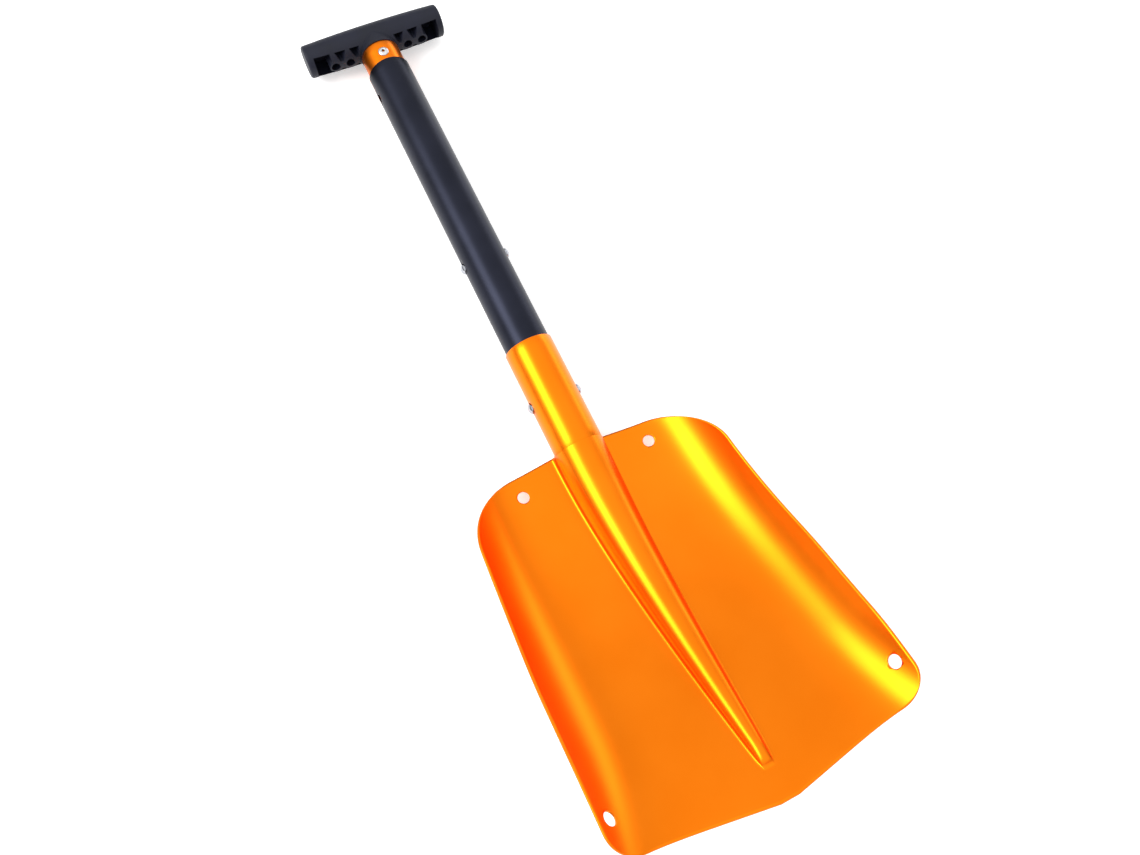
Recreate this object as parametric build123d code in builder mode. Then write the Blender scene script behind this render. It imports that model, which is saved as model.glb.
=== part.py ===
from build123d import *
from math import asin, cos, pi, sin, sqrt
import os

# Collapsible camp shovel, three sections, lying on its back with the scoop upwards.
# +Y runs up the shaft to the T-grip, +X is across the blade, +Z is up, origin at the
# bottom centre of the whole shovel's box. Millimetres.

# ---------------------------------------------------------------- driving dimensions
SHAFT_OD = 34.0            # black middle tube
TUBE_WALL = 1.2            # both tubes
SHEET = 1.2                # blade sheet, and so the rolled socket's wall
FIT = 0.1                  # radial running clearance of the telescoping tubes
SOCKET_LENGTH = 84.0       # mouth to where the closed tube opens into the rib
SHAFT_IN = 69.0            # depth of the middle tube inside the socket
SHAFT_OUT = 262.7          # middle tube's length above the socket's mouth
LOWER_BUTTON = 44.0        # mouth down to the lower pair of buttons
UPPER_BUTTON = 77.0        # mouth up to the upper pair of buttons
STROKE = 163.5             # from the packed holes to the extended holes
HANDLE_TAIL = 29.0         # handle tube below its buttons
HANDLE_TOP = 281.4         # mouth up to the handle tube's top end
BUTTON_D = 8.0             # snap button's head
BUTTON_HOLE_D = 9.0        # holes that the heads come through
BUTTON_HEIGHT = 5.2        # head, from the tube's inner wall to its crown

BLADE_TOP = 80.0           # mouth down to the blade's top edge on the centre line
BLADE_TIP = 333.0          # mouth down to the tip of the cutting edge
BLADE_HALF_TOP = 91.6      # half width at the shoulder, before its round corner
BLADE_HALF = 102.0         # half width at the lower corner
SHOULDER_DROP = 8.0        # how far the shoulder line falls from centre to corner
CORNER_TOP_R = 45.0
CORNER_LOW_R = 20.0
TIP_RISE = 15.0            # how far the cutting edge falls back from tip to corner
TIP_R = 30.0
FLOOR_DEPTH = 8.8          # blade floor below the shaft's axis at the shoulder
HOLE_D = 8.5               # four lashing holes
HOLE_TOP_X = 50.1
HOLE_TOP_Y = 98.9
HOLE_LOW_X = 94.0
HOLE_LOW_UP = 36.5         # lower holes, up from the tip
WALL_START = 66.0          # the dish begins to rise this far inboard of the edge
WALL_R = 92.0              # radius of the dish's side walls
RIB_RUNOUT = 20.0          # from the rib's nose to the tip

GRIP_LENGTH = 115.0
GRIP_D = 27.0              # moulded bar, at its middle
GRIP_END_D = 24.6          # and at its ends
GRIP_Y = 296.4             # mouth up to the grip's axis
RIVET_Y = 270.5
RIVET_HEAD_D = 8.4
RIVET_SHANK_D = 4.0
RIVET_BORE_D = 2.4

# ---------------------------------------------------------------- derived places
SHAFT_R = SHAFT_OD / 2
SHAFT_BORE_R = SHAFT_R - TUBE_WALL
HANDLE_R = SHAFT_BORE_R - FIT
HANDLE_BORE_R = HANDLE_R - TUBE_WALL
SOCKET_BORE_R = SHAFT_R + FIT
SOCKET_R = SOCKET_BORE_R + SHEET
AXIS_Z = SOCKET_R                                     # the socket lies on the ground
MOUTH_Y = (BLADE_TIP - GRIP_Y - GRIP_D / 2) / 2       # centres the box on the origin
HOLE_LOW_Y = BLADE_TIP - HOLE_LOW_UP
SHOULDER_Y = BLADE_TOP + SHOULDER_DROP
CORNER_Y = BLADE_TIP - TIP_RISE
BEND_Y = SHOULDER_Y + 0.552 * (CORNER_Y - SHOULDER_Y) # the side edge is bowed out here

os.makedirs("parts", exist_ok=True)


def along(y):
    """Plane across the shaft, y millimetres up from the socket's mouth, facing the grip."""
    return Plane(origin=(0, MOUTH_Y + y, AXIS_Z), x_dir=(1, 0, 0), z_dir=(0, 1, 0))


def above(y):
    """Plane seen from above, on the shaft's axis, y millimetres up from the mouth."""
    return Plane(origin=(0, MOUTH_Y + y, AXIS_Z), x_dir=(1, 0, 0), z_dir=(0, 0, 1))


def across(y):
    """Plane whose normal is +X, through the shaft's axis."""
    return Plane(origin=(0, MOUTH_Y + y, AXIS_Z), x_dir=(0, 1, 0), z_dir=(1, 0, 0))


def tube(outer, bore, low, high):
    """Round tube on the shaft's axis, as a BuildPart."""
    with BuildPart() as made:
        with BuildSketch(along(low)):
            Circle(outer)
            Circle(bore, mode=Mode.SUBTRACT)
        extrude(amount=high - low)
    return made.part


# ---------------------------------------------------------------- blade
# One pressed sheet. Across, it is a flat floor with round side walls; along, the floor
# sweeps up towards the cutting edge. The shaft's socket runs on down the middle as a
# raised rib that narrows to a blunt nose.
ROWS = 44
DISH_COLUMNS = 14
RIB_COLUMNS = 22
SHEET_TOP = BLADE_TOP - 10.0
SHEET_END = BLADE_TIP + 15.0
RIB_START = BLADE_TOP + 2.0
RIB_END = BLADE_TIP - RIB_RUNOUT
RIB_HALF = SOCKET_R + 0.2  # the rib stands just outside the socket tube
RIB_FOOT = RIB_HALF + 2.8  # half width of its foot where it leaves the socket
RIB_NOSE = 6.0             # half width of its foot at the nose


def floor_z(d):
    """Blade floor's height over the shaft's axis, d below the mouth: level, then a sweep up."""
    e = max(0.0, d - 100.0)
    return -FLOOR_DEPTH + 0.0026 * e**2 - 4.0e-6 * e**3


def floor_cos(d):
    """Cosine of the floor's slope at d."""
    e = max(0.0, d - 100.0)
    return 1 / sqrt(1 + (0.0052 * e - 12.0e-6 * e**2) ** 2)


def half_width(d):
    """Half width of the blade's side edge at d, on a straight line from shoulder to corner."""
    share = (d - SHOULDER_Y) / (CORNER_Y - SHOULDER_Y)
    return BLADE_HALF_TOP + (BLADE_HALF - BLADE_HALF_TOP) * sqrt(max(0.0, min(1.0, share)))


def dish_z(x, d):
    """Rise of the side wall over the floor at x out: an arc, lower near the tip."""
    run = max(0.0, x - (half_width(d) - WALL_START))
    fade = 1.0 - 0.42 * max(0.0, min(1.0, (d - BLADE_TIP + 63.0) / 70.0))
    return fade * (WALL_R - sqrt(WALL_R**2 - run**2))


def rib_foot(d):
    """Half width of the rib's foot at d."""
    share = max(0.0, min(1.0, (d - RIB_START) / (RIB_END - RIB_START)))
    return RIB_FOOT - (RIB_FOOT - RIB_NOSE) * (0.6 * share + 0.4 * share**2)


def evenly(points, count):
    """Points spaced evenly along a path of straight steps, ends kept."""
    reach = [0.0]
    for a, b in zip(points, points[1:]):
        reach.append(reach[-1] + sqrt((b[0] - a[0]) ** 2 + (b[1] - a[1]) ** 2))
    out = []
    step = 0
    for n in range(count):
        want = reach[-1] * n / (count - 1)
        while step < len(points) - 2 and reach[step + 1] < want:
            step += 1
        share = (want - reach[step]) / max(1e-9, reach[step + 1] - reach[step])
        a, b = points[step], points[step + 1]
        out.append((a[0] + (b[0] - a[0]) * share, a[1] + (b[1] - a[1]) * share))
    return out


def section(d):
    """Half of the sheet's upper face at d, from the rib's crown out to the side."""
    foot = rib_foot(d)
    fade = sqrt(max(0.0, 1 - (max(0.0, d - RIB_END + 16) / 16) ** 2)) if d < RIB_END else 0.0
    half = foot * RIB_HALF / RIB_FOOT
    fillet_r = foot - half
    tall = half * (1.0 + FLOOR_DEPTH / RIB_HALF * (half / RIB_HALF) ** 0.6)
    low = min(fillet_r, tall - half)
    turns = [pi / 2 * n / 24 for n in range(25)]
    rib = [(half * sin(turn), tall - half + half * cos(turn)) for turn in turns]
    rib += [(foot - fillet_r * cos(turn), low * (1 - sin(turn))) for turn in turns]
    points = evenly(rib, RIB_COLUMNS)
    edge = BLADE_HALF + 8.4
    for n in range(1, DISH_COLUMNS + 1):
        points.append((foot + (edge - foot) * n / DISH_COLUMNS, 0.0))
    return [(x, z * fade + dish_z(x, d)) for x, z in points]


def skin(drop):
    """Points of the sheet's upper face, or of its back when drop is the thickness."""
    grid = []
    for row in range(ROWS):
        d = SHEET_TOP + (SHEET_END - SHEET_TOP) * row / (ROWS - 1)
        half = section(d)
        full = [(-x, z) for x, z in reversed(half[1:])] + half
        down = drop / floor_cos(d)
        line = []
        for n, (x, z) in enumerate(full):
            a = full[max(0, n - 1)]
            b = full[min(len(full) - 1, n + 1)]
            long = sqrt((b[0] - a[0]) ** 2 + (b[1] - a[1]) ** 2)
            across_n = (-(b[1] - a[1]) / long, (b[0] - a[0]) / long)
            line.append(
                (
                    x - drop * across_n[0],
                    MOUTH_Y - d,
                    AXIS_Z + floor_z(d) + z - down * across_n[1],
                )
            )
        grid.append(line)
    return grid


def sheet_solid():
    """The pressed sheet before it is trimmed, closed from its two faces and four edges."""
    face_up = Face.make_surface_from_array_of_points(skin(0.0), tol=0.02)
    face_down = Face.make_surface_from_array_of_points(skin(SHEET), tol=0.02)
    rims = []
    for side in (
        lambda f: f.edges().sort_by(Axis.X)[0],
        lambda f: f.edges().sort_by(Axis.X)[-1],
        lambda f: f.edges().sort_by(Axis.Y)[0],
        lambda f: f.edges().sort_by(Axis.Y)[-1],
    ):
        rims.append(Face.make_surface_from_curves(side(face_up), side(face_down)))
    return Solid(Shell([face_up, face_down, *rims]))


def wall_plane(x, d):
    """Plane square to the dish at x, d, with its normal leaning in to the centre line."""
    slope = (dish_z(abs(x) + 0.5, d) - dish_z(abs(x) - 0.5, d)) * (1 if x > 0 else -1)
    rise = floor_z(d + 0.5) - floor_z(d - 0.5)
    place = (x, MOUTH_Y - d, AXIS_Z + floor_z(d) + dish_z(abs(x), d))
    return Plane(origin=place, z_dir=(-slope, rise, 1))


with BuildPart() as blade:
    add(sheet_solid())
    with BuildSketch(Plane.XY.offset(-50)) as plan:
        with BuildLine():
            Polyline(
                (0, MOUTH_Y - BLADE_TOP),
                (BLADE_HALF_TOP, MOUTH_Y - SHOULDER_Y),
                (BLADE_HALF - 1.6, MOUTH_Y - BEND_Y),
                (BLADE_HALF, MOUTH_Y - CORNER_Y),
                (0, MOUTH_Y - BLADE_TIP),
                (-BLADE_HALF, MOUTH_Y - CORNER_Y),
                (-BLADE_HALF + 1.6, MOUTH_Y - BEND_Y),
                (-BLADE_HALF_TOP, MOUTH_Y - SHOULDER_Y),
                close=True,
            )
        make_face()
        fillet(plan.vertices().sort_by(Axis.Y)[0], TIP_R)
        fillet([v for v in plan.vertices() if abs(v.Y - MOUTH_Y + CORNER_Y) < 0.1], CORNER_LOW_R)
        fillet([v for v in plan.vertices() if abs(v.Y - MOUTH_Y + SHOULDER_Y) < 0.1], CORNER_TOP_R)
        fillet([v for v in plan.vertices() if abs(v.Y - MOUTH_Y + BEND_Y) < 0.1], 600)
    extrude(amount=250, mode=Mode.INTERSECT)
    add(tube(SOCKET_R, SOCKET_BORE_R, -SOCKET_LENGTH, 0))
    for x in (-HOLE_TOP_X, HOLE_TOP_X):
        with BuildSketch(Plane.XY):
            with Locations((x, MOUTH_Y - HOLE_TOP_Y)):
                Circle(HOLE_D / 2)
        extrude(amount=60, mode=Mode.SUBTRACT)
    for x in (-HOLE_LOW_X, HOLE_LOW_X):
        with BuildSketch(wall_plane(x, HOLE_LOW_Y)):
            Circle(HOLE_D / 2)
        extrude(amount=6, both=True, mode=Mode.SUBTRACT)
    with BuildSketch(across(-LOWER_BUTTON)):
        Circle(BUTTON_HOLE_D / 2)
    extrude(amount=40, both=True, mode=Mode.SUBTRACT)
blade.part.label = "blade"
export_step(blade.part, "parts/blade.step")

# ---------------------------------------------------------------- middle shaft
# Black tube: lower buttons near its foot, two pairs of holes for the handle's buttons.
with BuildPart() as middle_shaft:
    add(tube(SHAFT_R, SHAFT_BORE_R, -SHAFT_IN, SHAFT_OUT))
    for y in (-LOWER_BUTTON, UPPER_BUTTON, UPPER_BUTTON + STROKE):
        with BuildSketch(across(y)):
            Circle(BUTTON_HOLE_D / 2)
        extrude(amount=40, both=True, mode=Mode.SUBTRACT)
middle_shaft.part.label = "middle_shaft"
export_step(middle_shaft.part, "parts/middle_shaft.step")

# ---------------------------------------------------------------- handle tube
# Orange tube that slides inside the middle shaft; only a short collar shows when packed.
with BuildPart() as handle_tube:
    add(tube(HANDLE_R, HANDLE_BORE_R, UPPER_BUTTON - HANDLE_TAIL, HANDLE_TOP))
    with BuildSketch(across(UPPER_BUTTON)):
        Circle(BUTTON_HOLE_D / 2)
    extrude(amount=40, both=True, mode=Mode.SUBTRACT)
    with BuildSketch(above(RIVET_Y)):
        Circle(RIVET_SHANK_D / 2)
    extrude(amount=40, both=True, mode=Mode.SUBTRACT)
handle_tube.part.label = "handle_tube"
export_step(handle_tube.part, "parts/handle_tube.step")

# ---------------------------------------------------------------- grip
# Moulded T-grip: a barrelled bar, a cone down to the tube, and a plug inside the tube.
# The underside is cored out, with ring bosses in a row and webs between them.
PLUG_LENGTH = 26.0
PLUG_CLEARANCE = 0.05
CONE_R = 16.2
END_RIM = 2.0
CORE_DEPTH = 21.0
RING_R = 3.6
RING_WALL = 1.2
RING_X = (24.7, 37.0)
POCKET_HALF = 10.2         # cored band's half height
WEB = 1.3

with BuildPart() as grip:
    with BuildSketch(above(GRIP_Y)):
        with BuildLine():
            ThreePointArc(
                (-GRIP_LENGTH / 2, GRIP_END_D / 2), (0, GRIP_D / 2), (GRIP_LENGTH / 2, GRIP_END_D / 2)
            )
            Line((GRIP_LENGTH / 2, GRIP_END_D / 2), (GRIP_LENGTH / 2, 0))
            Line((GRIP_LENGTH / 2, 0), (-GRIP_LENGTH / 2, 0))
            Line((-GRIP_LENGTH / 2, 0), (-GRIP_LENGTH / 2, GRIP_END_D / 2))
        make_face()
    revolve(axis=Axis((0, MOUTH_Y + GRIP_Y, AXIS_Z), (1, 0, 0)))
    fillet(grip.edges().filter_by(GeomType.CIRCLE).group_by(Axis.X)[0], END_RIM)
    fillet(grip.edges().filter_by(GeomType.CIRCLE).group_by(Axis.X)[-1], END_RIM)
    with BuildSketch(along(HANDLE_TOP)):
        Circle(CONE_R)
    with BuildSketch(along(GRIP_Y + 2)):
        Circle(GRIP_D / 2 - 1.5)
    loft()
    with BuildSketch(along(HANDLE_TOP - PLUG_LENGTH)):
        Circle(HANDLE_BORE_R - PLUG_CLEARANCE)
    extrude(amount=PLUG_LENGTH)
    for side in (-1, 1):
        with BuildSketch(along(GRIP_Y - GRIP_D / 2 - 1)):
            for x in RING_X:
                with Locations((side * x, 0)):
                    Circle(RING_R)
        extrude(amount=CORE_DEPTH, mode=Mode.SUBTRACT)
        with BuildSketch(along(GRIP_Y - GRIP_D / 2 - 1)) as pockets:
            with Locations((side * 45.6, 0)):
                Rectangle(13.2, 2 * POCKET_HALF)
            with Locations((side * RING_X[1], 0)):
                Circle(RING_R + RING_WALL, mode=Mode.SUBTRACT)
            for up in (-1, 1):
                for wide, narrow in (((26.2, 35.2), (29.8, 32.0)), ((14.6, 23.0), (17.6, 19.4))):
                    with BuildLine():
                        Polyline(
                            (side * wide[0], up * POCKET_HALF),
                            (side * wide[1], up * POCKET_HALF),
                            (side * narrow[1], up * 3.6),
                            (side * narrow[0], up * 3.6),
                            close=True,
                        )
                    make_face()
            for x in RING_X:
                with Locations((side * x, 0)):
                    Circle(RING_R + RING_WALL, mode=Mode.SUBTRACT)
        extrude(amount=CORE_DEPTH, mode=Mode.SUBTRACT)
    with BuildSketch(above(RIVET_Y)):
        Circle(RIVET_SHANK_D / 2)
    extrude(amount=40, both=True, mode=Mode.SUBTRACT)
grip.part.label = "grip"
export_step(grip.part, "parts/grip.step")

# ---------------------------------------------------------------- grip rivet
# Tubular rivet straight through the collar and the grip's plug, a dished head on each face.
RIVET_RISE = 1.3
HEAD_Z = sqrt(HANDLE_R**2 - (RIVET_HEAD_D / 2) ** 2) + 0.02

with BuildPart() as grip_rivet:
    with BuildSketch(across(RIVET_Y)):
        with BuildLine():
            Polyline(
                (RIVET_BORE_D / 2, -HANDLE_R - RIVET_RISE),
                (RIVET_BORE_D / 2, HANDLE_R + RIVET_RISE),
                (RIVET_SHANK_D / 2, HANDLE_R + RIVET_RISE),
                (RIVET_HEAD_D / 2, HANDLE_R + 0.5),
                (RIVET_HEAD_D / 2, HANDLE_R + 0.02),
                (RIVET_SHANK_D / 2 - 0.03, HANDLE_R + 0.02),
                (RIVET_SHANK_D / 2 - 0.03, -HANDLE_R - 0.02),
                (RIVET_HEAD_D / 2, -HANDLE_R - 0.02),
                (RIVET_HEAD_D / 2, -HANDLE_R - 0.5),
                (RIVET_SHANK_D / 2, -HANDLE_R - RIVET_RISE),
                close=True,
            )
        make_face()
    revolve(axis=Axis((0, MOUTH_Y + RIVET_Y, AXIS_Z), (0, 0, 1)))
grip_rivet.part.label = "grip_rivet"
export_step(grip_rivet.part, "parts/grip_rivet.step")

# ---------------------------------------------------------------- snap-button clips
# Each clip is a spring strip bent into a V inside its tube, with a domed button riveted
# through each leg. The buttons come out through the tubes' holes on both sides.
STRIP = 0.8
STRIP_WIDTH = 8.0
LEG_END = 6.5              # strip beyond the button
LEG_RUN = 38.0             # button to where the bend begins
BEND_R = 6.5
SHANK_R = 1.5
DOME = 2.0


def leg_face(bore):
    """Distance of a leg's outer face from the axis, clear of the round wall at its corners."""
    return sqrt(bore**2 - (STRIP_WIDTH / 2) ** 2) - 0.15


def strip_outline(outer, low, bend_y, radius):
    """Closed outline of the V seen from above: two legs that lean in to a round bend."""
    Polyline((outer, low), (outer, 9.0), (radius, bend_y))
    ThreePointArc((radius, bend_y), (0, bend_y + radius), (-radius, bend_y))
    Polyline((-radius, bend_y), (-outer, 9.0), (-outer, low))
    Line((-outer, low), (outer, low))


def spring_strip(y, bore):
    """The bent strip with its two shank holes."""
    outer = leg_face(bore)
    with BuildPart() as made:
        with BuildSketch(above(y).offset(-STRIP_WIDTH / 2)):
            with BuildLine():
                strip_outline(outer, -LEG_END, LEG_RUN, BEND_R)
            make_face()
        extrude(amount=STRIP_WIDTH)
        with BuildSketch(above(y).offset(-STRIP_WIDTH)):
            with BuildLine():
                strip_outline(outer - STRIP, -LEG_END - 1, LEG_RUN, BEND_R - STRIP)
            make_face()
        extrude(amount=2 * STRIP_WIDTH, mode=Mode.SUBTRACT)
        with BuildSketch(across(y)):
            Circle(SHANK_R + 0.05)
        extrude(amount=40, both=True, mode=Mode.SUBTRACT)
    return made.part


def button(y, bore, side):
    """One domed button: head, shank through the strip, and the closed end inside it."""
    face = leg_face(bore) + 0.02
    back = face - STRIP - 0.04
    crown = bore + BUTTON_HEIGHT
    dome_r = ((BUTTON_D / 2) ** 2 + DOME**2) / (2 * DOME)
    half_turn = asin(BUTTON_D / 2 / dome_r) / 2
    with BuildPart() as made:
        with BuildSketch(above(y)):
            with BuildLine():
                Polyline(
                    (side * (back - 0.9), 0),
                    (side * (back - 0.9), SHANK_R + 0.8),
                    (side * back, SHANK_R + 1.1),
                    (side * back, SHANK_R),
                    (side * face, SHANK_R),
                    (side * face, BUTTON_D / 2),
                    (side * (crown - DOME), BUTTON_D / 2),
                )
                ThreePointArc(
                    (side * (crown - DOME), BUTTON_D / 2),
                    (side * (crown - dome_r + dome_r * cos(half_turn)), dome_r * sin(half_turn)),
                    (side * crown, 0),
                )
                Line((side * crown, 0), (side * (back - 0.9), 0))
            make_face()
        revolve(axis=Axis((0, MOUTH_Y + y, AXIS_Z), (1, 0, 0)))
    return made.part


for name, y, bore in (
    ("lower", -LOWER_BUTTON, SHAFT_BORE_R),
    ("upper", UPPER_BUTTON, HANDLE_BORE_R),
):
    strip = spring_strip(y, bore)
    strip.label = name + "_spring"
    export_step(strip, "parts/" + name + "_spring.step")
    for hand, side in (("left", -1), ("right", 1)):
        head = button(y, bore, side)
        head.label = name + "_button_" + hand
        export_step(head, "parts/" + name + "_button_" + hand + ".step")

print("total packed length", BLADE_TIP + GRIP_Y + GRIP_D / 2)
print("mouth y", MOUTH_Y, "axis z", AXIS_Z)
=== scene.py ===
import math

import bpy
import numpy as np
from mathutils import Matrix, Vector


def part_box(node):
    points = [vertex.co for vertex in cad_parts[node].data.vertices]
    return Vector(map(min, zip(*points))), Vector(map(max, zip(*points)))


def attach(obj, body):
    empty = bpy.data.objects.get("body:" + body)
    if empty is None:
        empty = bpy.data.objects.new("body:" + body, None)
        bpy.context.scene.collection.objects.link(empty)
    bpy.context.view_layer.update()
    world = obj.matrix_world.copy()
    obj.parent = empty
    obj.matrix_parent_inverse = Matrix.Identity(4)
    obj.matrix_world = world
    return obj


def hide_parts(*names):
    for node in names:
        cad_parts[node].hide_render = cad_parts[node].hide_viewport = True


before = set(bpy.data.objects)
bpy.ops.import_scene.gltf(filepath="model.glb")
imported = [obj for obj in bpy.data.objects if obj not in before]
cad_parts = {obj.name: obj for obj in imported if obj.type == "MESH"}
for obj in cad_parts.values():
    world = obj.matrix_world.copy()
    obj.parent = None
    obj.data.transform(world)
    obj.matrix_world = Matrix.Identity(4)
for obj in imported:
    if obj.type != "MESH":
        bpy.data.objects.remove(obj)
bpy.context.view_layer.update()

# ------------------------------------------------------------------ camera
# A phone held above the foot of the blade, looking down the shaft towards the grip. The
# shaft's axis runs along Y, and the shovel is measured from the mouth of the blade's
# socket, where the black tube goes into it.
MM = 0.001
shaft_low, shaft_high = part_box("middle_shaft")
AXIS_Z = (shaft_low[2] + shaft_high[2]) / 2
MOUTH_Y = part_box("blade")[1][1]
EYE_FROM_MOUTH = (-123.3, -216.4, 582.6)
RIGHT = (0.89546, -0.43806, 0.07908)
AHEAD = (0.20201, 0.24162, -0.94911)

camera_data = bpy.data.cameras.new("camera")
camera_data.sensor_width = 36.0
camera_data.lens = 27.16
camera_data.clip_start = 0.01
camera = bpy.data.objects.new("camera", camera_data)
bpy.context.collection.objects.link(camera)
eye = Vector((0.0, MOUTH_Y, AXIS_Z)) + Vector(EYE_FROM_MOUTH) * MM
right = Vector(RIGHT).normalized()
ahead = Vector(AHEAD)
ahead = (ahead - right * ahead.dot(right)).normalized()
turned = Matrix((right, right.cross(ahead), -ahead)).transposed()
camera.matrix_world = Matrix.Translation(eye) @ turned.to_4x4()
bpy.context.scene.camera = camera

# ------------------------------------------------------------------ floor and light
# A pale lit table in a studio whose walls darken towards the ground, with one large soft
# box high on the left and a weaker one low on the right.
FLOOR_HALF = 3.0
FLOOR_GLOW = 0.42
ROOM_LIGHT = 1.24


def add(tree, kind, **inputs):
    """A shader node with each input set to a value or wired to a socket; _ stands for a space."""
    node = tree.nodes.new(kind)
    for name, value in inputs.items():
        socket = node.inputs[name.replace("_", " ")]
        if isinstance(value, bpy.types.NodeSocket):
            tree.links.new(value, socket)
        else:
            socket.default_value = value
    return node


def blank(name):
    """A node material, its tree and its Principled shader, ready for settings."""
    material = bpy.data.materials.new(name)
    material.use_nodes = True
    return material, material.node_tree, material.node_tree.nodes["Principled BSDF"]


paper, tree, shader = blank("matt_white_paper")
where = add(tree, "ShaderNodeTexCoord").outputs["Object"]
speck = add(tree, "ShaderNodeTexNoise", Vector=where, Scale=900.0).outputs["Fac"]
white = add(tree, "ShaderNodeMapRange", Value=speck, To_Min=0.86, To_Max=0.9)
tree.links.new(white.outputs["Result"], shader.inputs["Base Color"])
shader.inputs["Roughness"].default_value = 0.9
shader.inputs["Emission Color"].default_value = (1.0, 1.0, 1.0, 1.0)
shader.inputs["Emission Strength"].default_value = FLOOR_GLOW
floor_corners = [(FLOOR_HALF * x, FLOOR_HALF * y, 0) for x, y in ((-1, -1), (1, -1), (1, 1), (-1, 1))]
floor_mesh = bpy.data.meshes.new("floor")
floor_mesh.from_pydata(floor_corners, [], [(0, 1, 2, 3)])
floor_mesh.materials.append(paper)
floor = bpy.data.objects.new("floor", floor_mesh)
bpy.context.collection.objects.link(floor)

world = bpy.data.worlds.new("studio_room")
world.use_nodes = True
tree = world.node_tree
direction = add(tree, "ShaderNodeTexCoord").outputs["Generated"]
height = add(tree, "ShaderNodeSeparateXYZ", Vector=direction).outputs["Z"]
ramp = add(tree, "ShaderNodeValToRGB", Fac=height)
stops = ramp.color_ramp.elements
stops[0].position, stops[0].color = 0.0, (0.10, 0.10, 0.10, 1.0)
stops[1].position, stops[1].color = 0.85, (1.0, 1.0, 1.0, 1.0)
stops.new(0.42).color = (0.60, 0.60, 0.60, 1.0)
tree.links.new(ramp.outputs["Color"], tree.nodes["Background"].inputs["Color"])
tree.nodes["Background"].inputs["Strength"].default_value = ROOM_LIGHT
bpy.context.scene.world = world


def lamp(name, place, aim, wide, long, radiance):
    """A soft box of that radiance: its power is radiance * pi * area."""
    data = bpy.data.lights.new(name, "AREA")
    data.shape = "RECTANGLE"
    data.size, data.size_y = wide, long
    data.energy = radiance * math.pi * wide * long
    box = bpy.data.objects.new(name, data)
    bpy.context.collection.objects.link(box)
    back = (Vector(place) - Vector(aim)).normalized()
    side = Vector((0, 1, 0)).cross(back).normalized()
    facing = Matrix((side, back.cross(side), back)).transposed().to_4x4()
    box.matrix_world = Matrix.Translation(place) @ facing


lamp("soft_box_left", (-1.5, 0.45, 1.5), (0, -0.05, 0), 1.1, 1.6, 6.6)
lamp("soft_box_right", (1.5, 0.87, 0.30), (0, 0, 0), 0.55, 1.6, 2.2)
bpy.context.scene.view_settings.view_transform = "Standard"

# ------------------------------------------------------------------ blade
# One sheet of aluminium, pressed to a dished scoop with a rolled socket and a rib that
# tapers down from it, then anodised orange. The bead-blasted skin under the dye gives a
# satin glow with soft edges to every highlight.
SHEET = 1.2
BLADE_TOP, SHOULDER_D, WIDEST_D, BLADE_TIP = 80.0, 88.0, 318.0, 332.9
HALF_TOP, HALF_LOW = 90.8, 100.9
BEND_IN, BEND_D = 1.6, 215.0
TIP_RISE = 15.0
SHOULDER_R, BEND_R, CORNER_R = 45.0, 600.0, 20.0
FLOOR_DEPTH, SWEEP_START = 8.8, 100.0
WALL_START, WALL_RISE, WALL_CURL = 66.0, 30.9, 3.6
FADE, FADE_START, FADE_RUN = 0.53, 262.0, 86.0
RIB_START, RIB_END, NOSE_RUN = 82.0, 313.0, 16.0
RIB_HALF, RIB_FOOT, RIB_NOSE, RIB_LIFT = 18.5, 21.3, 6.0, 0.476
RIB_EASE = 0.06
SOCKET_FOOT, SUNK, EMERGE_RUN = 84.0, 0.18, 24.0
BROADER, BROADER_START, BROADER_RUN = 1.6, 120.0, 190.0
ARC_STEPS, ROWS, DISH_COLUMNS, RIB_COLUMNS, RIB_STEPS = 24, 150, 60, 33, 24


def floor_z(d):
    """Floor height over the shaft's axis: level, then 0.0026 e^2 - 4e-6 e^3, e past the sweep's start."""
    e = np.maximum(0.0, d - SWEEP_START)
    return -FLOOR_DEPTH + 0.0026 * e**2 - 4.0e-6 * e**3


def dish_z(x, d):
    """Side wall's rise: WALL_RISE times the share of the way out to the power WALL_CURL.

    Towards the tip it fades by FADE along the smooth step 3 v^2 - 2 v^3.
    """
    share = np.clip((d - SHOULDER_D) / (WIDEST_D - SHOULDER_D), 0, 1)
    half = HALF_TOP + (HALF_LOW - HALF_TOP) * np.sqrt(share)
    run = np.maximum(0.0, x - (half - WALL_START))
    low = np.clip((d - FADE_START) / FADE_RUN, 0, 1)
    return (1 - FADE * low**2 * (3 - 2 * low)) * WALL_RISE * (run / WALL_START) ** WALL_CURL


def rib_foot(d):
    """Half width of the rib's foot: it narrows by 0.6 of the share run and 0.4 of its square.

    The share starts softly, as the root of its square and RIB_EASE squared, less RIB_EASE.
    """
    share = np.clip((d - RIB_START) / (RIB_END - RIB_START), 0, 1)
    share = (np.sqrt(share**2 + RIB_EASE**2) - RIB_EASE) / (math.sqrt(1 + RIB_EASE**2) - RIB_EASE)
    return RIB_FOOT - (RIB_FOOT - RIB_NOSE) * (0.6 * share + 0.4 * share**2)


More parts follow.
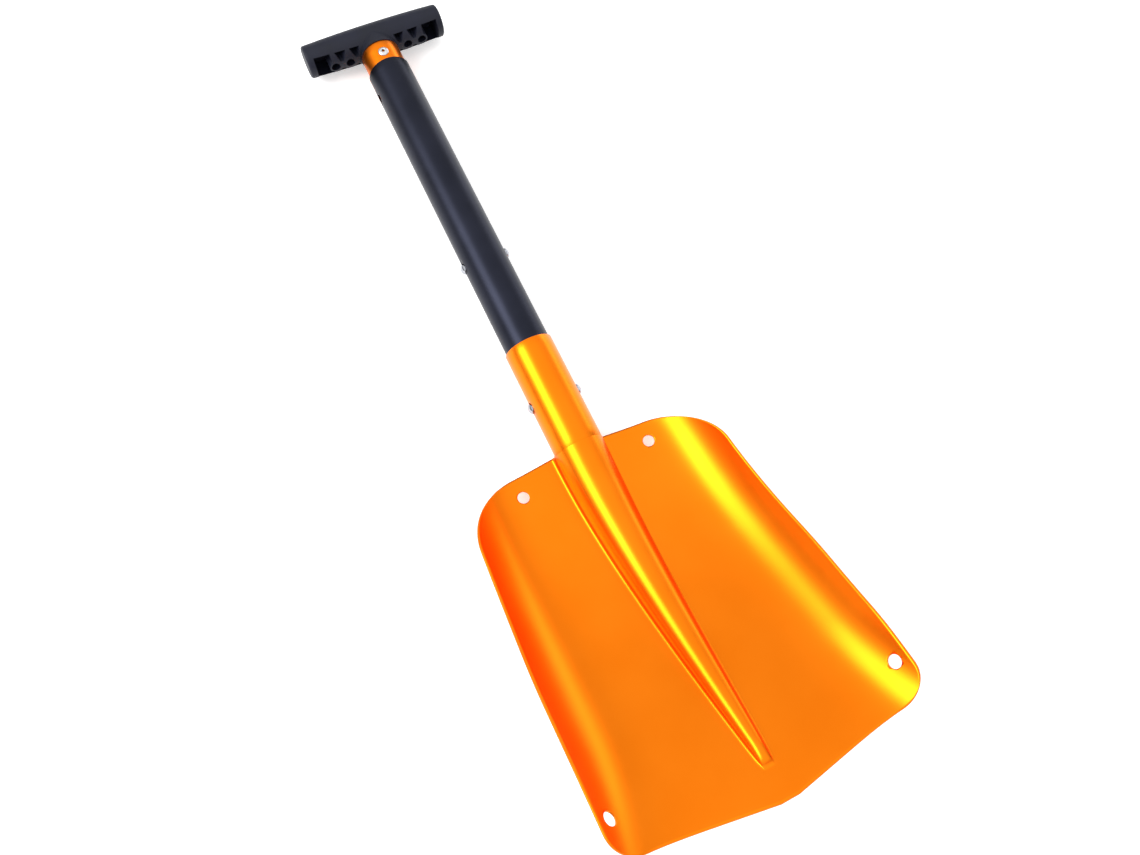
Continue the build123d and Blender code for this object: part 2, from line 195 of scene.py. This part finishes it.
def rounded(corners, radii):
    """A path of straight runs whose corners are arcs of the given radii, ARC_STEPS points each."""
    path = [np.array([corners[0]])]
    for a, b, c, r in zip(corners, corners[1:], corners[2:], radii):
        a, b, c = map(np.array, (a, b, c))
        u, v = (a - b) / np.linalg.norm(a - b), (c - b) / np.linalg.norm(c - b)
        half = math.acos(np.clip(u @ v, -1, 1)) / 2
        centre = b + (u + v) / np.linalg.norm(u + v) * r / math.sin(half)
        p, q = b + u * r / math.tan(half) - centre, b + v * r / math.tan(half) - centre
        turn = math.acos(np.clip(p @ q / r**2, -1, 1))
        t = np.linspace(0, 1, ARC_STEPS)[:, None]
        path.append(centre + (np.sin((1 - t) * turn) * p + np.sin(t * turn) * q) / math.sin(turn))
    path.append(np.array([corners[-1]]))
    return np.concatenate(path)


def along_path(path, share):
    """Points at those shares of the path's length."""
    reach = np.r_[0, np.cumsum(np.linalg.norm(np.diff(path, axis=0), axis=1))]
    return np.stack([np.interp(share * reach[-1], reach, path[:, k]) for k in (0, 1)], -1)


def filled(inner, side, top, bottom):
    """Grid between four border curves: both ruled surfaces added, less the one through the corners."""
    s = np.linspace(0, 1, len(top))[None, :, None]
    t = np.linspace(0, 1, len(side))[:, None, None]
    ruled = (1 - t) * top[None] + t * bottom[None] + (1 - s) * inner[:, None] + s * side[:, None]
    upper = (1 - s) * (1 - t) * top[0] + s * (1 - t) * top[-1]
    lower = (1 - s) * t * bottom[0] + s * t * bottom[-1]
    return ruled - upper - lower


def rib_rows(d):
    """Rib across: half a circle on upright sides, with a fillet at each foot, faded out at the nose.

    Under the socket's end it lies SUNK lower, and further down its fillets grow by up to BROADER.
    """
    foot = rib_foot(d)[:, None]
    fade = np.sqrt(np.clip(1 - (np.maximum(0.0, d - RIB_END + NOSE_RUN) / NOSE_RUN) ** 2, 0, 1))
    clear = np.clip((d - SOCKET_FOOT) / EMERGE_RUN, 0, 1)[:, None]
    sunk = SUNK * (1 - clear**2 * (3 - 2 * clear))
    round_r = foot * RIB_HALF / RIB_FOOT - sunk
    tall = round_r * (1.0 + RIB_LIFT * (np.minimum(RIB_HALF, round_r + sunk) / RIB_HALF) ** 0.6)
    half = round_r - BROADER * np.clip((d - BROADER_START) / BROADER_RUN, 0, 1)[:, None]
    bend = foot - half
    low = np.minimum(bend, tall - half)
    w = np.linspace(0, math.pi / 2, RIB_STEPS)[None]
    x = np.concatenate([half * np.sin(w), foot - bend * np.cos(w)], 1)
    z = np.concatenate([tall - half + half * np.cos(w), low * (1 - np.sin(w))], 1)
    run = np.concatenate([np.zeros((len(d), 1)), np.cumsum(np.hypot(np.diff(x), np.diff(z)), 1)], 1)
    share = np.linspace(0, 1, RIB_COLUMNS)
    xs = np.stack([np.interp(share * r[-1], r, row) for r, row in zip(run, x)])
    zs = np.stack([np.interp(share * r[-1], r, row) for r, row in zip(run, z)])
    return xs, zs * fade[:, None]


def grid_mesh(name, points, wrap_u=False, wrap_v=False):
    """A mesh of quads over a grid of points, rows by columns, closed round where asked."""
    rows, columns = points.shape[:2]
    index = np.arange(rows * columns).reshape(rows, columns)
    if wrap_u:
        index = np.concatenate([index, index[:1]])
    if wrap_v:
        index = np.concatenate([index, index[:, :1]], axis=1)
    quads = np.stack([index[:-1, :-1], index[1:, :-1], index[1:, 1:], index[:-1, 1:]], -1).reshape(-1, 4)
    mesh = bpy.data.meshes.new(name)
    mesh.from_pydata(points.reshape(-1, 3).tolist(), [], quads.tolist())
    mesh.polygons.foreach_set("use_smooth", np.ones(len(quads), bool))
    mesh.update()
    made = bpy.data.objects.new(name, mesh)
    bpy.context.collection.objects.link(made)
    return made


def placed(x, d, z):
    """Shaft measures in millimetres (across, down from the mouth, over the axis) to frame metres."""
    return np.stack([x * MM, MOUTH_Y - d * MM, AXIS_Z + z * MM], -1)


plan = rounded(
    [
        (0, BLADE_TOP),
        (HALF_TOP, SHOULDER_D),
        (HALF_LOW - BEND_IN, BEND_D),
        (HALF_LOW, BLADE_TIP - TIP_RISE),
        (0, BLADE_TIP),
    ],
    [SHOULDER_R, BEND_R, CORNER_R],
)
reach = np.r_[0, np.cumsum(np.linalg.norm(np.diff(plan, axis=0), axis=1))]
shoulder = 1 + ARC_STEPS // 2
corner = len(plan) - 2 - ARC_STEPS // 2
start = np.interp(RIB_FOOT, plan[: shoulder + 1, 0], reach[: shoulder + 1]) / reach[-1]
shoulder_share, corner_share = reach[shoulder] / reach[-1], reach[corner] / reach[-1]
end = 1 - RIB_NOSE / reach[-1]
out = np.linspace(0, 1, DISH_COLUMNS)
down = np.linspace(0, 1, ROWS)
top = along_path(plan, start + (shoulder_share - start) * out)
side = along_path(plan, shoulder_share + (corner_share - shoulder_share) * down)
bottom = along_path(plan, end + (corner_share - end) * out)
rib_d = top[0, 1] + (bottom[0, 1] - top[0, 1]) * down
dish_x, dish_d = np.moveaxis(filled(np.stack([rib_foot(rib_d), rib_d], -1), side, top, bottom), -1, 0)
dish = placed(dish_x, dish_d, floor_z(dish_d) + dish_z(dish_x, dish_d))
rib_x, rib_z = rib_rows(rib_d)
rib = placed(rib_x, rib_d[:, None] + 0 * rib_x, rib_z + floor_z(rib_d)[:, None])
right_half = np.concatenate([rib, dish[:, 1:]], 1)
left_half = right_half[:, :0:-1] * np.array([-1.0, 1.0, 1.0])
blade = grid_mesh("blade_sheet", np.concatenate([left_half, right_half], 1))

HOLE_R, HOLE_SIDES = 4.25, 48
HOLE_TOP_X, HOLE_TOP_D = 50.1, 98.9
HOLE_LOW_X, HOLE_LOW_D = 94.0, 296.5


def finished(obj):
    """Makes the object's modifiers real, still in place."""
    graph = bpy.context.evaluated_depsgraph_get()
    mesh = bpy.data.meshes.new_from_object(obj.evaluated_get(graph))
    obj.modifiers.clear()
    obj.data = mesh


def pierce(obj, centre, axis, radius, reach):
    """Cuts a round hole through obj: less a prism of that radius, reach long each way along axis."""
    a = Vector(axis).normalized()
    u = a.orthogonal().normalized()
    turn = np.linspace(0, 2 * math.pi, HOLE_SIDES, endpoint=False)[:, None]
    ring = radius * (np.cos(turn) * np.array(u) + np.sin(turn) * np.array(a.cross(u)))
    ends = [np.array(centre) + ring + np.array(a) * reach * k for k in (-1, 1)]
    near = np.arange(HOLE_SIDES)
    beside = (near + 1) % HOLE_SIDES
    walls = np.stack([near, beside, HOLE_SIDES + beside, HOLE_SIDES + near], -1).tolist()
    caps = [near[::-1].tolist(), (HOLE_SIDES + near).tolist()]
    mesh = bpy.data.meshes.new("cutter")
    mesh.from_pydata(np.concatenate(ends).tolist(), [], walls + caps)
    cutter = bpy.data.objects.new("cutter", mesh)
    bpy.context.collection.objects.link(cutter)
    cut = obj.modifiers.new("hole", "BOOLEAN")
    cut.object = cutter
    cut.solver = "EXACT"
    finished(obj)
    bpy.data.objects.remove(cutter)


thickness = blade.modifiers.new("thickness", "SOLIDIFY")
thickness.thickness = SHEET * MM
thickness.offset = -1.0
finished(blade)
top_z = floor_z(HOLE_TOP_D) + dish_z(HOLE_TOP_X, HOLE_TOP_D)
low_z = floor_z(HOLE_LOW_D) + dish_z(HOLE_LOW_X, HOLE_LOW_D)
slope = float(dish_z(HOLE_LOW_X + 0.5, HOLE_LOW_D) - dish_z(HOLE_LOW_X - 0.5, HOLE_LOW_D))
rise = float(floor_z(HOLE_LOW_D + 0.5) - floor_z(HOLE_LOW_D - 0.5))
for hand in (-1, 1):
    pierce(blade, placed(hand * HOLE_TOP_X, HOLE_TOP_D, top_z), (0, 0, 1), HOLE_R * MM, 0.02)
    leaning = (-hand * slope, rise, 1.0)
    pierce(blade, placed(hand * HOLE_LOW_X, HOLE_LOW_D, low_z), leaning, HOLE_R * MM, 0.006)

SOCKET_R, SOCKET_BORE_R = 18.3, 17.1
LOWER_BUTTONS = -44.0
BUTTON_HOLE_R, BUTTON_HOLE_REACH = 4.5, 0.05
EASE, SPACING = 0.3, 6.0


def lathe(name, profile, steps=192):
    """A closed profile of (radius, distance up from the mouth), turned round the shaft's axis."""
    r, y = np.array(profile, float).T
    turn = np.linspace(0, 2 * math.pi, steps, endpoint=False)[:, None]
    return grid_mesh(name, placed(r * np.cos(turn), -y + 0 * turn, r * np.sin(turn)), True, True)


def tube_profile(outer, bore, low, high):
    """Ring section of a tube, points every SPACING up its walls and rims eased by EASE in two steps."""
    up = np.linspace(low + EASE, high - EASE, max(2, int((high - low) / SPACING)))
    ease = EASE * 0.3
    section = [(outer, v) for v in up]
    section += [(outer - ease, high - ease), (outer - EASE, high)]
    section += [(bore + EASE, high), (bore + ease, high - ease)]
    section += [(bore, v) for v in up[::-1]]
    section += [(bore + ease, low + ease), (bore + EASE, low)]
    section += [(outer - EASE, low), (outer - ease, low + ease)]
    return section


def button_holes(tube, up):
    """The pair of holes that snap buttons come through, that far up from the mouth."""
    pierce(tube, placed(0, -up, 0), (1, 0, 0), BUTTON_HOLE_R * MM, BUTTON_HOLE_REACH)


socket = lathe("blade_socket", tube_profile(SOCKET_R, SOCKET_BORE_R, -SOCKET_FOOT, 0.0))
button_holes(socket, LOWER_BUTTONS)


def linear(hex_colour):
    """sRGB hex to linear red, green, blue, alpha: c / 12.92, or ((c + 0.055) / 1.055) ** 2.4."""
    c = np.array([int(hex_colour[n : n + 2], 16) / 255 for n in (0, 2, 4)])
    c = np.where(c <= 0.04045, c / 12.92, ((c + 0.055) / 1.055) ** 2.4)
    return (*c.tolist(), 1.0)


def finish_of(name, colours, metallic, rough, cloud, grain, grain_depth):
    """A finish whose colour and roughness drift with a soft noise, under a fine grained bump.

    colours and rough are the two ends of the drift; cloud and grain are the patterns' sizes
    in millimetres, and grain_depth is the grain's height in millimetres.
    """
    material, tree, shader = blank(name)
    where = add(tree, "ShaderNodeTexCoord").outputs["Object"]
    drift = add(tree, "ShaderNodeTexNoise", Vector=where, Scale=1000.0 / cloud, Detail=3.0).outputs["Fac"]
    tint = add(tree, "ShaderNodeValToRGB", Fac=drift)
    for stop, place, colour in zip(tint.color_ramp.elements, (0.35, 0.65), colours):
        stop.position, stop.color = place, linear(colour)
    tree.links.new(tint.outputs["Color"], shader.inputs["Base Color"])
    dull = add(tree, "ShaderNodeMapRange", Value=drift, To_Min=rough[0], To_Max=rough[1])
    tree.links.new(dull.outputs["Result"], shader.inputs["Roughness"])
    grit = add(tree, "ShaderNodeTexNoise", Vector=where, Scale=1000.0 / grain, Detail=2.0).outputs["Fac"]
    bump = add(tree, "ShaderNodeBump", Height=grit, Strength=1.0, Distance=grain_depth * MM)
    tree.links.new(bump.outputs["Normal"], shader.inputs["Normal"])
    shader.inputs["Metallic"].default_value = metallic
    return material


ORANGES = ("F97D0F", "FC8112")
anodised_orange = finish_of("orange_anodised_aluminium", ORANGES, 1.0, (0.30, 0.33), 45.0, 0.6, 0.006)
for piece in (blade, socket):
    piece.data.materials.clear()
    piece.data.materials.append(anodised_orange)
    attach(piece, "blade_body")
    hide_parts("blade")

# ------------------------------------------------------------------ middle shaft
# Drawn aluminium tube, anodised black: a deep satin black that goes grey in the light. Three
# pairs of drilled holes take the lower buttons and the upper ones, packed and extended.
SHAFT_R, SHAFT_BORE_R = 17.0, 15.8
SHAFT_FOOT, SHAFT_TOP = -69.0, 262.7
UPPER_BUTTONS, UPPER_BUTTONS_OUT = 77.0, 240.5
BLACKS = ("272933", "2B2D38")
anodised_black = finish_of("black_anodised_aluminium", BLACKS, 1.0, (0.37, 0.42), 30.0, 0.5, 0.005)
shaft = lathe("middle_shaft_tube", tube_profile(SHAFT_R, SHAFT_BORE_R, SHAFT_FOOT, SHAFT_TOP))
for up in (LOWER_BUTTONS, UPPER_BUTTONS, UPPER_BUTTONS_OUT):
    button_holes(shaft, up)
shaft.data.materials.append(anodised_black)
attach(shaft, "shaft_body")
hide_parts("middle_shaft")

# ------------------------------------------------------------------ handle tube
# The same drawn tube a size smaller, anodised orange to match the blade. Packed, it is
# hidden in the middle shaft but for a short collar under the grip.
HANDLE_R, HANDLE_BORE_R = 15.7, 14.5
HANDLE_FOOT, HANDLE_TOP = 48.0, 281.4
handle = lathe("handle_tube_skin", tube_profile(HANDLE_R, HANDLE_BORE_R, HANDLE_FOOT, HANDLE_TOP))
button_holes(handle, UPPER_BUTTONS)
handle.data.materials.append(anodised_orange)
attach(handle, "handle_body")
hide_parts("handle_tube")

# ------------------------------------------------------------------ grip
# Glass-filled nylon, moulded in one shot round a cored underside: matt black with a fine
# spark-eroded texture.
NYLON_BLACKS = ("0F121F", "131626")


def dress(node, material):
    """Gives every face of a CAD node that one material."""
    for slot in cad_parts[node].material_slots:
        slot.material = material


nylon = finish_of("black_moulded_nylon", NYLON_BLACKS, 0.0, (0.5, 0.6), 20.0, 0.7, 0.05)
nylon.node_tree.nodes["Principled BSDF"].inputs["Specular IOR Level"].default_value = 0.3
dress("grip", nylon)

# ------------------------------------------------------------------ grip rivet
# Tubular aluminium rivet through the collar and the grip's plug. Its rolled heads are bright, and its bore
# is painted dark with the clips' blued steel finish, as painted shade inside the bore.
RIVET_Y = 270.5
RIVET_HEAD = [
    (1.2, 16.85),
    (1.4, 17.0),
    (2.0, 16.98),
    (2.8, 16.82),
    (3.5, 16.5),
    (4.0, 16.05),
    (4.2, 15.72),
    (2.0, 15.7),
]
RIVET_STEPS = 96
bright = finish_of("bright_rolled_aluminium", ("CFCFD0", "E2E2E3"), 1.0, (0.18, 0.26), 3.0, 0.3, 0.004)
# Blued steel for the spring clips, also used as painted shade on the wall of the rivet's bore.
blued_steel_and_bore_shade = finish_of("blued_spring_steel_and_bore_shade", ("4A4D57", "5C6068"), 1.0, (0.28, 0.38), 6.0, 0.3, 0.004)
r, z = np.array(RIVET_HEAD + [(r, -z) for r, z in RIVET_HEAD[::-1]]).T
turn = np.linspace(0, 2 * math.pi, RIVET_STEPS, endpoint=False)[:, None]
rivet_points = placed(r * np.cos(turn), -RIVET_Y - r * np.sin(turn), z + 0 * turn)
rivet = grid_mesh("rivet_skin", rivet_points, True, True)
rivet.data.materials.append(bright)
rivet.data.materials.append(blued_steel_and_bore_shade)
# The last column of faces is the bore's wall: it takes the blued steel as painted shade.
slots = np.zeros((RIVET_STEPS, len(r)), np.int32)
slots[:, -1] = 1
rivet.data.polygons.foreach_set("material_index", slots.ravel())
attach(rivet, "handle_body")
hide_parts("grip_rivet")

# ------------------------------------------------------------------ spring clips
# Two strips of blued spring steel, each bent to a V inside its tube and pressing its two
# buttons outwards.
for clip in ("lower_spring", "upper_spring"):
    dress(clip, blued_steel_and_bore_shade)

# ------------------------------------------------------------------ snap buttons
# Domed heads of polished stainless steel, riveted through the legs of the clips. They
# stand proud of the tubes on both sides.
stainless = finish_of("polished_stainless_steel", ("A4A6AD", "B8BAC0"), 1.0, (0.08, 0.14), 3.0, 0.2, 0.001)
for button in ("lower_button_left", "lower_button_right", "upper_button_left", "upper_button_right"):
    dress(button, stainless)
